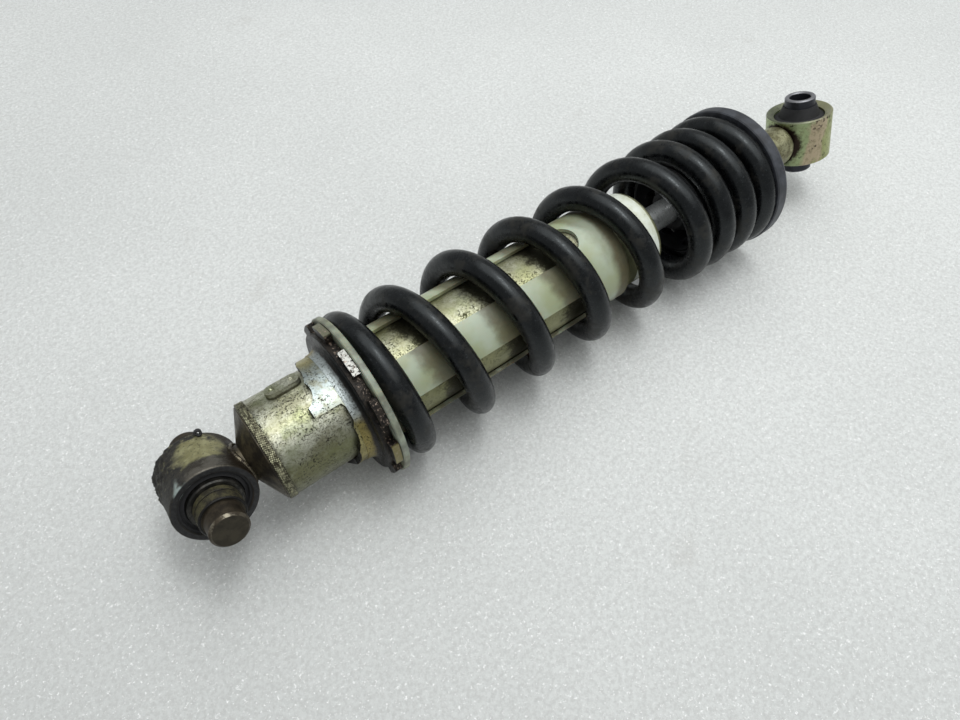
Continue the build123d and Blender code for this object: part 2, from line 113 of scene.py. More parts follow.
# about the station that a wide coil would have at angle 0
COIL_START = 86.5

# the bump stop
BUMP_LOW = 236.0
BUMP_HIGH = 269.0
BUMP_BORE = 6.6
BUMP_LOW_R = 10.8
BUMP_HIGH_R = 14.0
BUMP_SWELL = 1.7
BUMP_BELLOWS = 3


def at(station, radius=0.0, degrees=0.0):
    """A point in metres from a station and a radius in mm, and an angle from +Y towards +Z."""
    turn = math.radians(degrees)
    return Vector(((station - EYE_TO_EYE) * MM, radius * MM * math.cos(turn), radius * MM * math.sin(turn)))


def srgb(red, green, blue):
    """A linear colour from the 0 to 255 numbers of a display colour."""
    channels = [c / 255 for c in (red, green, blue)]
    return tuple(c / 12.92 if c <= 0.04045 else ((c + 0.055) / 1.055) ** 2.4 for c in channels)


class Paint:
    """One procedural material on a Principled shader, in object coordinates."""

    def __init__(self, name, rough=0.5, metal=0.0, **sockets):
        self.material = bpy.data.materials.new(name)
        self.material.use_nodes = True
        self.tree = self.material.node_tree
        self.shader = self.tree.nodes["Principled BSDF"]
        coordinates = self.tree.nodes.new("ShaderNodeTexCoord")
        self.place = coordinates.outputs["Object"]
        self.normal = coordinates.outputs["Normal"]
        self.set("Roughness", rough)
        self.set("Metallic", metal)
        for socket, value in sockets.items():
            self.set(socket.replace("_", " "), value)

    def set(self, socket, value):
        self.feed(self.shader.inputs[socket], value)

    def feed(self, socket, value):
        """Gives a socket its value: another node's output, a colour or a number."""
        if isinstance(value, bpy.types.NodeSocket):
            self.tree.links.new(value, socket)
        elif socket.type == "RGBA":
            socket.default_value = (*value, 1.0)
        else:
            socket.default_value = value

    def noise(self, size, detail=3.0, rough=0.55, stretch=(1, 1, 1), shift=0.0):
        """Cloudy noise whose features are about size mm wide."""
        mapping = self.tree.nodes.new("ShaderNodeMapping")
        self.feed(mapping.inputs["Vector"], self.place)
        mapping.inputs["Location"].default_value = (shift, shift * 0.7, shift * 1.3)
        mapping.inputs["Scale"].default_value = tuple(1000 / size / s for s in stretch)
        cloud = self.tree.nodes.new("ShaderNodeTexNoise")
        self.feed(cloud.inputs["Vector"], mapping.outputs["Vector"])
        cloud.inputs["Scale"].default_value = 1.0
        cloud.inputs["Detail"].default_value = detail
        cloud.inputs["Roughness"].default_value = rough
        return cloud.outputs["Fac"]

    def step(self, value, low, high, start=0.0, end=1.0):
        """A smooth step from start to end as value goes from low to high."""
        node = self.tree.nodes.new("ShaderNodeMapRange")
        node.interpolation_type = "SMOOTHSTEP"
        for socket, number in zip(node.inputs, (value, low, high, start, end)):
            self.feed(socket, number)
        return node.outputs["Result"]

    def math(self, operation, first, second=0.0):
        """A Math node. Each input is a number or another node's output."""
        node = self.tree.nodes.new("ShaderNodeMath")
        node.operation = operation
        self.feed(node.inputs[0], first)
        self.feed(node.inputs[1], second)
        return node.outputs[0]

    def times(self, first, second):
        return self.math("MULTIPLY", first, second)

    def plus(self, first, second):
        return self.math("ADD", first, second)

    def minus(self, first, second):
        return self.math("SUBTRACT", first, second)

    def most(self, first, second):
        return self.math("MAXIMUM", first, second)

    def sway(self, width, *shape, **options):
        """Noise about zero, with a full width in mm."""
        return self.times(self.minus(self.noise(*shape, **options), 0.5), width)

    def mix(self, factor, first, second):
        """The first colour where factor is 0, the second where it is 1."""
        node = self.tree.nodes.new("ShaderNodeMix")
        node.data_type = "RGBA"
        self.feed(node.inputs["Factor"], factor)
        self.feed(node.inputs[6], first)
        self.feed(node.inputs[7], second)
        return node.outputs[2]

    def vector_math(self, operation, first, second):
        """A Vector Math node between another node's output and a fixed vector."""
        node = self.tree.nodes.new("ShaderNodeVectorMath")
        node.operation = operation
        self.feed(node.inputs[0], first)
        node.inputs[1].default_value = second
        return node.outputs

    def along(self, axis, origin=(0, 0, 0)):
        """Distance in mm along an axis from a point."""
        offset = self.vector_math("SUBTRACT", self.place, origin)["Vector"]
        return self.vector_math("DOT_PRODUCT", offset, Vector(axis) / MM)["Value"]

    def toward(self, degrees):
        """Distance in mm from the shock's axis in one direction, an angle from +Y towards +Z."""
        turn = math.radians(degrees)
        return self.along((0, math.cos(turn), math.sin(turn)))

    def station(self):
        """Distance in mm along the shock from the lower eye's centre."""
        return self.along((1, 0, 0), LOWER_EYE)

    def off_axis(self):
        """Distance in mm from the shock's axis."""
        sides = [self.math("ABSOLUTE", self.toward(degrees)) for degrees in (0, 90)]
        squares = [self.math("POWER", side, 2.0) for side in sides]
        return self.math("SQRT", self.plus(*squares))

    def past_coil(self, wobble):
        """Distance in mm beyond the last wide coil, less than WIDE_PITCH, pushed about by wobble."""
        turn = self.math("ARCTAN2", self.toward(90), self.toward(0))
        climb = self.times(turn, WIDE_PITCH / (2 * math.pi))
        ahead = self.minus(self.plus(self.station(), wobble), climb)
        share = self.math("DIVIDE", self.minus(ahead, COIL_START), WIDE_PITCH)
        return self.times(self.math("FRACT", share), WIDE_PITCH)

    def facing(self, axis, low, high):
        """Rises from 0 to 1 as the surface turns to face along an axis."""
        return self.step(self.vector_math("DOT_PRODUCT", self.normal, axis)["Value"], low, high)

    def bump(self, height, depth, strength=1.0):
        """Bumps of about depth mm."""
        node = self.tree.nodes.new("ShaderNodeBump")
        node.inputs["Strength"].default_value = strength
        node.inputs["Distance"].default_value = depth * MM
        self.feed(node.inputs["Height"], height)
        self.feed(self.shader.inputs["Normal"], node.outputs["Normal"])


# ---- materials ----
# colours are display colours as srgb() takes them, and sizes in a paint are mm
PIT = srgb(36, 31, 22)
# angles from +Y towards +Z: the side where the cam's painted highlight is brightest, and the collar's teeth
# that a spanner has rubbed
PAINTED_HIGHLIGHT_ANGLE = 93
BRIGHT_TOOTH = 99
WORN_TEETH = ((64, srgb(140, 140, 116)), (171, srgb(142, 134, 90)))
# stations where the nylon guide's tube begins and its windows end
GUIDE_START = 66
WINDOW_END = 186


def zinc_tube():
    """The damper tube: mottled, pitted plating with painted shade on its lower side, darker in the guide's
    windows near the coils and lighter between them.
    """
    paint = Paint("ZincTube")
    station = paint.station()
    radius = paint.off_axis()
    height = paint.toward(90)
    cloud = paint.noise(9, 4, 0.6, stretch=(1.6, 1, 1))
    base = paint.mix(paint.step(cloud, 0.36, 0.66), srgb(158, 157, 132), srgb(212, 213, 196))
    fine = paint.noise(1.0, 5, 0.75)
    base = paint.mix(paint.step(fine, 0.44, 0.66, 0.0, 0.65), base, srgb(92, 89, 64))
    green = paint.step(paint.noise(11, 3, 0.6, shift=12.4), 0.46, 0.66, 0.0, 0.45)
    base = paint.mix(green, base, srgb(120, 130, 84))
    # painted shade: the tube darkens on its lower side, away from the ceiling light
    low = paint.step(height, 15.5, 8)
    base = paint.mix(paint.times(low, 0.75), base, srgb(96, 97, 66))
    groups = paint.step(paint.noise(10, 3, 0.6, shift=3.1), 0.40, 0.60)
    pits = paint.step(paint.noise(0.75, 4, 0.75, shift=7.3), 0.545, 0.60)
    specks = paint.times(groups, pits)
    base = paint.mix(specks, base, PIT)
    ends = paint.step(station, 27.5, 23.0)
    grime = paint.times(ends, paint.step(paint.noise(2.2, 3, 0.6, shift=1.7), 0.36, 0.56))
    base = paint.mix(grime, base, srgb(48, 43, 33))
    inside = paint.step(station, GUIDE_START - 6, GUIDE_START + 2)
    shade = paint.times(inside, paint.step(paint.noise(14, 3, 0.6, shift=4.9), 0.30, 0.60, 0.2, 0.6))
    base = paint.mix(shade, base, srgb(156, 156, 116))
    wobble = paint.sway(16, 6, 4, 0.65, shift=7.9)
    # lighter in the open gap between two coils, darker towards the coils
    gap = paint.math("ABSOLUTE", paint.minus(paint.past_coil(wobble), 14.0))
    reach = paint.step(height, 2, 12, 6.0, 10.0)
    speckle = paint.sway(11, 1.1, 4, 0.75, shift=2.4)
    edge = paint.plus(paint.minus(gap, reach), speckle)
    dark_near_coils = paint.times(paint.step(edge, -2.5, 3.5), paint.step(station, GUIDE_START, GUIDE_START + 2))
    dark_near_coils = paint.times(dark_near_coils, paint.step(station, WINDOW_END, WINDOW_END - 3))
    base = paint.mix(paint.times(dark_near_coils, 0.9), base, paint.mix(fine, srgb(66, 62, 46), srgb(30, 28, 23)))
    side = paint.times(paint.step(radius, 20.05, 20.3), paint.step(radius, 21.6, 20.9))
    side = paint.times(side, paint.step(station, 28, 30))
    base = paint.mix(paint.times(side, 0.8), base, srgb(64, 58, 40))
    paint.set("Base Color", base)
    rough = paint.plus(paint.step(cloud, 0.3, 0.7, 0.27, 0.40), paint.times(specks, 0.4))
    paint.set("Roughness", paint.plus(rough, paint.times(inside, 0.12)))
    paint.set("Metallic", paint.step(specks, 0.2, 0.9, 0.9, 0.2))
    paint.bump(paint.minus(paint.times(fine, 0.6), specks), 0.12, 0.8)
    return paint.material


def painted_highlight_tone(paint):
    """Distance in mm towards the side where the plating's painted highlight is brightest, with a cloudy
    edge.
    """
    return paint.plus(paint.toward(PAINTED_HIGHLIGHT_ANGLE), paint.times(paint.noise(10, 3), 5))


def zinc_cam():
    """The preload cam: gold plating painted silvery on top as a highlight and darker low down as shade,
    with painted shade on its step faces and next to the collar.
    """
    paint = Paint("ZincCam", metal=0.95)
    tone = painted_highlight_tone(paint)
    # painted highlight: the gold plating turns silvery where it faces the ceiling light
    base = paint.mix(paint.step(tone, 20.6, 25.2), srgb(164, 156, 110), srgb(172, 183, 182))
    cloud = paint.noise(4, 4, 0.65, shift=2.2)
    base = paint.mix(paint.step(cloud, 0.44, 0.68, 0, 0.6), base, srgb(132, 126, 92))
    # painted shade: deeper, darker gold low down
    low = paint.step(paint.toward(90), 12, -10)
    gold = paint.mix(paint.step(cloud, 0.4, 0.62), srgb(158, 146, 88), srgb(104, 92, 54))
    base = paint.mix(paint.times(low, 0.75), base, gold)
    # painted shade next to the collar
    near_collar = paint.step(paint.plus(paint.station(), paint.times(cloud, 2)), 54.0, 57.0)
    base = paint.mix(paint.times(near_collar, 0.5), base, srgb(58, 50, 36))
    pits = paint.step(paint.noise(0.7, 4, 0.75, shift=9.4), 0.545, 0.60)
    groups = paint.step(paint.noise(7, 3, 0.6, shift=5.0), 0.38, 0.58)
    specks = paint.times(groups, pits)
    base = paint.mix(specks, base, PIT)
    # painted shade on the step faces that face the lower eye
    base = paint.mix(paint.facing((-1, 0, 0), 0.2, 0.5), base, srgb(22, 18, 14))
    paint.set("Base Color", base)
    paint.set("Roughness", paint.step(cloud, 0.3, 0.7, 0.26, 0.44))
    paint.bump(paint.minus(paint.times(cloud, 0.5), specks), 0.1, 0.6)
    return paint.material


def yellow_film(paint, tone, fine):
    """Yellow chromate on zinc, green to pink to olive as tone rises."""
    base = paint.mix(paint.step(tone, -1.5, 1.5), srgb(160, 174, 130), srgb(190, 174, 146))
    base = paint.mix(paint.step(tone, 5.5, 8.5), base, srgb(160, 166, 112))
    return paint.mix(paint.step(fine, 0.44, 0.68, 0.0, 0.5), base, srgb(120, 116, 84))


def upper_zinc():
    """The upper eye: green, pink and olive bands, rust flecks, a dusty mouth and a rusty root darkened
    further with painted shade.
    """
    paint = Paint("ZincUpper")
    around = paint.along((0.78, -0.62, 0))
    fine = paint.noise(1.5, 4, 0.65, shift=4.2)
    wobble = paint.sway(16, 7, 3, 0.6, stretch=(1, 1, 2.5))
    base = yellow_film(paint, paint.plus(around, wobble), fine)
    height = paint.along(CROSS)
    flecks = paint.step(paint.noise(2.0, 4, 0.7, shift=8.8), 0.50, 0.58)
    band = paint.times(paint.step(height, 5.0, 8.0), paint.step(around, -3, 2))
    band = paint.times(band, paint.step(around, 11, 7))
    rare = paint.step(paint.noise(2.6, 4, 0.7, shift=1.8), 0.60, 0.68)
    rust = paint.most(paint.times(flecks, band), paint.times(rare, 0.8))
    # rust and painted shade round the stem's root
    reach = paint.plus(paint.off_axis(), paint.times(paint.noise(2.0, 4, 0.7, shift=3.9), 4))
    root = paint.times(paint.step(reach, 13.6, 11.4), paint.step(paint.along((1, 0, 0)), 0, -3))
    base = paint.mix(paint.most(rust, root), base, paint.mix(fine, srgb(54, 37, 26), srgb(24, 19, 16)))
    mouth = paint.facing(CROSS, 0.2, 0.5)
    dust = paint.mix(paint.step(around, -12, 4), srgb(74, 74, 66), srgb(134, 132, 108))
    base = paint.mix(paint.times(mouth, paint.step(fine, 0.3, 0.6, 1.0, 0.7)), base, dust)
    paint.set("Base Color", base)
    paint.set("Metallic", paint.step(mouth, 0, 1, 0.7, 0.25))
    paint.set("Roughness", paint.step(fine, 0.3, 0.7, 0.28, 0.5))
    paint.bump(paint.minus(fine, rust), 0.12, 0.6)
    return paint.material


def stem_zinc():
    """The stem: pale olive plating that darkens into rust and painted shade where it meets the upper eye.
    """
    paint = Paint("ZincStem", metal=0.7)
    fine = paint.noise(1.4, 4, 0.7, shift=4.2)
    cloud = paint.noise(5, 4, 0.6, shift=7.0)
    base = paint.mix(paint.step(cloud, 0.38, 0.62), srgb(164, 162, 130), srgb(114, 110, 80))
    base = paint.mix(paint.step(fine, 0.50, 0.66, 0.0, 0.8), base, srgb(70, 66, 44))
    # rust and painted shade in the crevice against the upper eye
    crevice = paint.step(paint.plus(paint.station(), paint.times(cloud, 3)), 317.3, 319.3)
    base = paint.mix(crevice, base, srgb(34, 24, 17))
    paint.set("Base Color", base)
    paint.set("Roughness", paint.step(fine, 0.3, 0.7, 0.26, 0.46))
    paint.bump(fine, 0.2, 0.7)
    return paint.material


def eye_steel():
    """The lower eye: olive plating on top, a burnished edge with a painted glint, a black near face and
    black grime outside.
    """
    paint = Paint("EyeSteel")
    cloud = paint.noise(5, 4, 0.65)
    fine = paint.noise(1.3, 4, 0.7, shift=9.3)
    wobble = paint.sway(14, 7, 3, 0.6, shift=2.5)
    base = paint.mix(paint.step(cloud, 0.38, 0.64), srgb(172, 168, 128), srgb(142, 138, 98))
    base = paint.mix(paint.step(fine, 0.52, 0.68, 0.0, 0.7), base, srgb(62, 58, 42))
    near = paint.plus(paint.along(NEAR), paint.times(wobble, 0.4))
    rim = paint.mix(paint.step(cloud, 0.4, 0.6), srgb(96, 92, 84), srgb(60, 56, 48))
    base = paint.mix(paint.step(near, 3.6, 5.6), base, rim)
    along = paint.plus(paint.along((1, 0, 0), LOWER_EYE), paint.times(wobble, 0.8))
    grime = paint.step(along, -0.5, -6.0)
    back = paint.step(paint.plus(paint.along(NEAR), wobble), -6.5, -9.5)
    low = paint.step(paint.plus(paint.along(CROSS), wobble), 5.0, -2.0)
    grime = paint.most(paint.most(grime, back), low)
    grime = paint.times(grime, paint.step(paint.noise(2.6, 4, 0.7, shift=5.2), 0.66, 0.56, 0.55, 1.0))
    crust = paint.mix(paint.step(paint.noise(1.5, 3, 0.7), 0.4, 0.6), srgb(22, 21, 19), srgb(46, 43, 36))
    base = paint.mix(grime, base, crust)
    # a painted glint: a soft bluish-white highlight on the burnished band
    glint = paint.times(paint.step(near, 4.0, 7.0), paint.step(along, -1.0, -4.0))
    glint = paint.times(glint, paint.step(along, -11.0, -7.5))
    glint = paint.times(glint, paint.step(paint.noise(5.5, 2, 0.5, shift=3.4), 0.44, 0.74))
    base = paint.mix(glint, base, srgb(172, 186, 182))
    neck = paint.step(along, 8.5, 12.5)
    base = paint.mix(neck, base, srgb(50, 42, 33))
    face = paint.facing(NEAR, 0.75, 0.95)
    base = paint.mix(face, base, paint.mix(paint.step(fine, 0.4, 0.65), srgb(20, 20, 22), srgb(40, 40, 40)))
    paint.set("Base Color", base)
    paint.set("Metallic", paint.step(paint.most(grime, face), 0.0, 1.0, 0.65, 0.1))
    paint.set("Roughness", paint.step(paint.most(grime, face), 0.0, 1.0, 0.40, 0.62))
    paint.bump(paint.noise(1.1, 4, 0.7, shift=3.3), 0.3, 0.8)
    return paint.material


def pin_steel():
    """The pivot pin: brown film, with its end's edges rubbed bright and painted brighter along the top as a
    highlight.
    """
    paint = Paint("PinBrown", metal=0.7)
    cloud = paint.noise(4, 4, 0.65)
    fine = paint.noise(0.9, 4, 0.7, shift=5.5)
    base = paint.mix(paint.step(cloud, 0.38, 0.64), srgb(54, 48, 40), srgb(76, 68, 56))
    base = paint.mix(paint.step(fine, 0.52, 0.70, 0.0, 0.6), base, srgb(34, 28, 22))
    face = paint.facing(NEAR, 0.80, 0.97)
    worn = paint.mix(paint.step(cloud, 0.36, 0.62), srgb(50, 46, 38), srgb(66, 61, 50))
    base = paint.mix(face, base, worn)
    # the end's rubbed edge, with a painted highlight that is brightest on top
    edge = paint.times(paint.step(paint.along(NEAR), 26.9, 27.2), paint.step(face, 0.6, 0.2))
    edge = paint.times(edge, paint.step(paint.noise(3.0, 3, 0.6, shift=1.2), 0.42, 0.62))
    edge = paint.times(edge, paint.step(paint.along(CROSS), 1.0, 6.0, 0.15, 0.8))
    base = paint.mix(edge, base, srgb(150, 143, 126))
    paint.set("Base Color", base)
    paint.set("Roughness", paint.step(edge, 0.0, 1.0, 0.5, 0.36))
    paint.bump(fine, 0.04, 0.5)
    return paint.material


def spacer_zinc():
    """The spacers: worn olive plating with a dark crack round them and a dark outer end."""
    paint = Paint("SpacerZinc", 0.5, 0.4)
    cloud = paint.noise(4, 4, 0.65)
    fine = paint.noise(0.8, 4, 0.7, shift=6.5)
    base = paint.mix(paint.step(cloud, 0.40, 0.62), srgb(92, 88, 64), srgb(56, 53, 44))
    base = paint.mix(paint.step(fine, 0.50, 0.66, 0.0, 0.8), base, srgb(36, 33, 27))
    depth = paint.plus(paint.along(NEAR), paint.times(paint.noise(3, 3, 0.6, shift=2.8), 1.2))
    crack = paint.times(paint.step(depth, 15.9, 16.2), paint.step(depth, 16.7, 16.4))
    lip = paint.step(depth, 20.2, 20.5)
    base = paint.mix(paint.most(crack, lip), base, srgb(20, 18, 16))
    paint.set("Base Color", base)
    paint.bump(paint.minus(fine, crack), 0.25, 0.8)
    return paint.material


def sleeve_steel():
    """The upper eye's inner sleeve: almost black outside, rubbed grey on its ends."""
    paint = Paint("SleeveSteel", 0.42, 0.6)
    fine = paint.noise(1.2, 4, 0.7)
    end = paint.math("ABSOLUTE", paint.along(CROSS))
    rubbed = paint.step(paint.plus(end, fine), 18.9, 19.4)
    base = paint.mix(rubbed, paint.mix(fine, srgb(44, 45, 52), srgb(64, 65, 72)), srgb(132, 132, 136))
    paint.set("Base Color", base)
    paint.bump(fine, 0.03, 0.5)
    return paint.material


def dark_steel(name, dark, light, rough, metal, size=3.0, depth=0.1):
    """Old bare steel, brown to black, with an uneven film."""
    paint = Paint(name, metal=metal)
    cloud = paint.noise(size, 4, 0.65)
    fine = paint.noise(size * 0.22, 4, 0.7, shift=5.5)
    base = paint.mix(paint.step(cloud, 0.38, 0.64), dark, light)
    base = paint.mix(paint.step(fine, 0.52, 0.70, 0.0, 0.7), base, tuple(c * 0.45 for c in dark))
    paint.set("Base Color", base)
    paint.set("Roughness", paint.step(cloud, 0.3, 0.7, rough + 0.1, rough - 0.08))
    paint.bump(fine, depth, 0.6)
    return paint.material


def collar_steel():
    """The spanner collar: black with oil and rust, worn bright where a spanner has bitten the teeth; its
    plated throat is painted silvery on top as a highlight, and its face towards the lower eye carries
    painted shade.
    """
    paint = Paint("CollarSteel")
    cloud = paint.noise(2.6, 4, 0.7)
    base = paint.mix(paint.step(cloud, 0.36, 0.62), srgb(20, 18, 17), srgb(50, 44, 38))
    throat = paint.step(paint.plus(paint.off_axis(), paint.times(cloud, 2)), 25.6, 24.2)
    # painted highlight: the plated throat turns silvery towards the top
    tone = painted_highlight_tone(paint)
    plated = paint.mix(paint.step(tone, 17.0, 22.0), srgb(150, 138, 88), srgb(182, 190, 190))
    pits = paint.step(paint.noise(0.75, 4, 0.75, shift=7.3), 0.55, 0.62)
    base = paint.mix(throat, base, paint.mix(pits, plated, srgb(44, 40, 32)))
    tooth = paint.step(paint.off_axis(), 32.4, 33.0)
    top = paint.toward(BRIGHT_TOOTH)
    bright = paint.times(tooth, paint.step(top, 32.2, 32.7))
    bright = paint.times(bright, paint.step(paint.noise(1.3, 4, 0.75, shift=2.9), 0.58, 0.50))
    base = paint.mix(paint.times(bright, 0.9), base, srgb(196, 196, 190))
    for degrees, color in WORN_TEETH:
        beside = paint.toward(degrees)
        worn = paint.times(tooth, paint.step(beside, 31.4, 32.6))
        base = paint.mix(paint.times(worn, 0.75), base, color)
    flecks = paint.step(paint.noise(0.9, 3, 0.7, shift=7.7), 0.57, 0.64)
    flecks = paint.times(flecks, paint.step(paint.station(), 59.3, 59.8))
    base = paint.mix(paint.times(flecks, 0.9), base, srgb(170, 152, 138))
    # painted shade on the face towards the lower eye
    under = paint.times(paint.facing((-1, 0, 0), 0.5, 0.8), paint.step(throat, 0.8, 0.2))
    base = paint.mix(under, base, srgb(17, 16, 16))
    paint.set("Base Color", base)
    paint.set("Metallic", paint.step(throat, 0.0, 1.0, 0.6, 0.95))
    paint.set("Roughness", paint.step(cloud, 0.3, 0.7, 0.50, 0.32))
    paint.bump(paint.noise(0.9, 4, 0.7, shift=1.1), 0.25, 0.9)
    return paint.material


def nylon():
    """Natural nylon, yellowed, with brown oil stains low down, darker bands beside the coils and a painted
    shadow of the top coil over the guide's upper end.
    """
    paint = Paint("AgedNylon", Subsurface_Weight=0.12, Subsurface_Scale=0.002)
    cloud = paint.noise(16, 3, 0.5)
    base = paint.mix(paint.step(cloud, 0.38, 0.64), srgb(176, 186, 166), srgb(162, 170, 136))
    station = paint.station()
    wobble = paint.times(paint.noise(8, 4, 0.65, shift=3.7), 12)
    stained = paint.step(paint.plus(paint.along((0, -0.25, 0.97)), wobble), 10, 1)
    stains_and_shadow = paint.times(stained, paint.step(paint.noise(5, 4, 0.7, shift=6.6), 0.30, 0.50))
    # painted shadow of the top coil over the guide's upper end
    end = paint.step(paint.plus(station, paint.times(wobble, 0.4)), 182, 187.5)
    stains_and_shadow = paint.most(paint.times(stains_and_shadow, 0.9), paint.times(end, 0.85))
    # darker bands beside the coils
    sway = paint.sway(9, 7, 4, 0.6, shift=5.3)
    beyond = paint.past_coil(sway)
    band = paint.most(paint.step(beyond, 17.0, 23.0), paint.step(beyond, 8.0, 4.0))
    band = paint.times(band, paint.step(station, WINDOW_END - 3, WINDOW_END - 16, 0.3, 0.75))
    stains_and_shadow = paint.most(stains_and_shadow, band)
    body = paint.step(station, GUIDE_START, GUIDE_START + 1.5)
    brown = paint.mix(paint.noise(2, 4, 0.7), srgb(104, 90, 54), srgb(44, 36, 24))
    base = paint.mix(paint.times(stains_and_shadow, body), base, brown)
    film = paint.step(paint.noise(6, 3, 0.6, shift=1.9), 0.35, 0.65, 0.4, 0.85)
    base = paint.mix(paint.times(paint.minus(1.0, body), film), base, srgb(92, 92, 84))
    paint.set("Base Color", base)
    paint.set("Roughness", paint.step(stains_and_shadow, 0.0, 1.0, 0.34, 0.5))
    paint.bump(paint.noise(1.8, 3, 0.6), 0.05, 0.4)
    return paint.material


def black_enamel():
    """The spring's black finish, with fine dust and a dull brown film."""
    paint = Paint("SpringBlack", Specular_IOR_Level=0.36, Specular_Tint=(0.90, 0.97, 1.0))
    cloud = paint.noise(9, 4, 0.65)
    base = paint.mix(paint.step(cloud, 0.36, 0.66), srgb(7, 8, 9), srgb(15, 16, 18))
    dust = paint.times(paint.step(paint.noise(1.1, 4, 0.75, shift=4.4), 0.58, 0.72), 0.3)
    base = paint.mix(dust, base, srgb(84, 88, 92))
    film = paint.step(paint.noise(12, 4, 0.7, shift=2.7), 0.50, 0.66)
    base = paint.mix(paint.times(film, 0.3), base, srgb(66, 62, 54))
    paint.set("Base Color", base)
    mottle = paint.step(paint.noise(2.5, 5, 0.75, shift=6.2), 0.36, 0.64, 0.20, 0.40)
    paint.set("Roughness", paint.plus(mottle, paint.times(film, 0.2)))
    paint.bump(paint.noise(2.4, 4, 0.65, shift=8.1), 0.03, 0.35)
    return paint.material


def seat_black():
    """The upper seat: worn dark grey with rusty specks."""
    paint = Paint("WornBlack", 0.48)
    cloud = paint.noise(7, 4, 0.65)
    base = paint.mix(paint.step(cloud, 0.36, 0.66), srgb(43, 45, 50), srgb(68, 71, 78))
    specks = paint.step(paint.noise(1.0, 3, 0.7, shift=2.0), 0.64, 0.72)
    base = paint.mix(paint.times(specks, 0.5), base, srgb(120, 104, 96))
    paint.set("Base Color", base)
    paint.bump(paint.noise(1.3, 4, 0.65, shift=3.6), 0.06, 0.5)
    return paint.material


def soft_black(name, color, rough, size=2.0, depth=0.08):
    """Moulded black plastic or rubber with a fine, dusty grain."""
    paint = Paint(name)
    cloud = paint.noise(size * 3, 4, 0.65)
    base = paint.mix(paint.step(cloud, 0.36, 0.66), color, tuple(c * 1.9 + 0.004 for c in color))
    paint.set("Base Color", base)
    paint.set("Roughness", paint.step(cloud, 0.3, 0.7, rough, rough + 0.12))
    paint.bump(paint.noise(size, 4, 0.7, shift=1.3), depth, 0.5)
    return paint.material


def label_film():
    """Blank white film, yellowed and lifted a little at its edges."""
    paint = Paint("LabelFilm", 0.42)
    cloud = paint.noise(7, 4, 0.6)
    base = paint.mix(paint.step(cloud, 0.36, 0.66), srgb(226, 232, 222), srgb(206, 210, 190))
    scuff = paint.times(paint.step(paint.noise(1.6, 4, 0.7, shift=5.1), 0.60, 0.70), 0.5)
    base = paint.mix(scuff, base, srgb(132, 130, 108))
    paint.set("Base Color", base)
    paint.bump(cloud, 0.04, 0.3)
    return paint.material


def ground_chrome():
    """The piston rod, with faint marks along it."""
    paint = Paint("GroundChrome", metal=0.85, Base_Color=srgb(210, 213, 213))
    brush = paint.noise(3, 3, 0.6, stretch=(0.05, 1, 1))
    paint.set("Roughness", paint.step(brush, 0.3, 0.7, 0.26, 0.34))
    return paint.material


def knurl_zinc():
    """The knurl: plating left on the diamonds, with dirt between them and over some of them."""
    paint = Paint("KnurlZinc", 0.3, 0.85)
    cloud = paint.noise(1.4, 4, 0.7)
    base = paint.mix(paint.step(paint.off_axis(), 20.15, 20.38), srgb(24, 21, 16), srgb(176, 174, 144))
    base = paint.mix(paint.step(cloud, 0.42, 0.60, 0, 0.85), base, srgb(44, 40, 30))
    paint.set("Base Color", base)
    return paint.material


PAINTS = {
    "tube": zinc_tube(),
    "cam": zinc_cam(),
    "upper": upper_zinc(),
    "stem": stem_zinc(),
    "eye": eye_steel(),
    "cap": dark_steel("NeckRust", srgb(50, 45, 37), srgb(92, 84, 66), 0.44, 0.5, 5.0, 0.12),
    "pin": pin_steel(),
    "race": dark_steel("RaceSteel", srgb(40, 40, 38), srgb(72, 70, 66), 0.36, 0.7, 3.0, 0.08),
    "spacer": spacer_zinc(),
    "sleeve": sleeve_steel(),
    "collar": collar_steel(),
    "endcap": dark_steel("EndCapSteel", srgb(36, 36, 32), srgb(66, 64, 52), 0.4, 0.6, 3.0, 0.08),
    "nylon": nylon(),
    "spring": black_enamel(),
    "seat": seat_black(),
    "plastic": soft_black("CagePlastic", srgb(20, 21, 23), 0.42),
    "rubber": soft_black("Rubber", srgb(20, 20, 22), 0.62, 1.6, 0.12),
    "label": label_film(),
    "chrome": ground_chrome(),
    "inner": dark_steel("InnerMetal", srgb(120, 120, 118), srgb(164, 164, 160), 0.35, 0.9),
    "washer": dark_steel("WasherSteel", srgb(60, 60, 58), srgb(96, 94, 88), 0.4, 0.7),
    "knurl": knurl_zinc(),
    "bead": dark_steel("WeldBead", srgb(46, 40, 33), srgb(120, 112, 94), 0.36, 0.7, 2.0, 0.2),
}

NODE_PAINT = {
    "damper_tube": "tube", "stop_lugs": "tube", "cam_sleeve": "cam", "spanner_collar": "collar",
    "nylon_spring_guide": "nylon", "upper_spring_seat": "seat", "upper_stem": "stem",
    "upper_eye_barrel": "upper", "upper_rubber_bush": "rubber", "upper_inner_sleeve": "sleeve",
    "lower_end_cap": "cap", "pivot_pin": "pin", "pivot_sleeve": "race", "near_spacer": "spacer",
    "far_spacer": "spacer", "bearing_cup": "race", "needle_rollers": "race", "near_lip_seal": "rubber",
    "far_lip_seal": "rubber", "label_band": "label", "piston_rod": "chrome", "bump_washer": "washer",
    "slotted_upper_guide": "plastic", "tube_end_cap": "endcap", "dust_wiper": "rubber",
    "oil_seal": "rubber", "top_out_bumper": "rubber", "lower_eye_barrel": "eye",
    "coil_spring": "spring", "bump_stop": "rubber",
}
for node_name, node_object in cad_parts.items():
    node_object.data.materials.clear()
    node_object.data.materials.append(PAINTS[NODE_PAINT.get(node_name, "inner")])


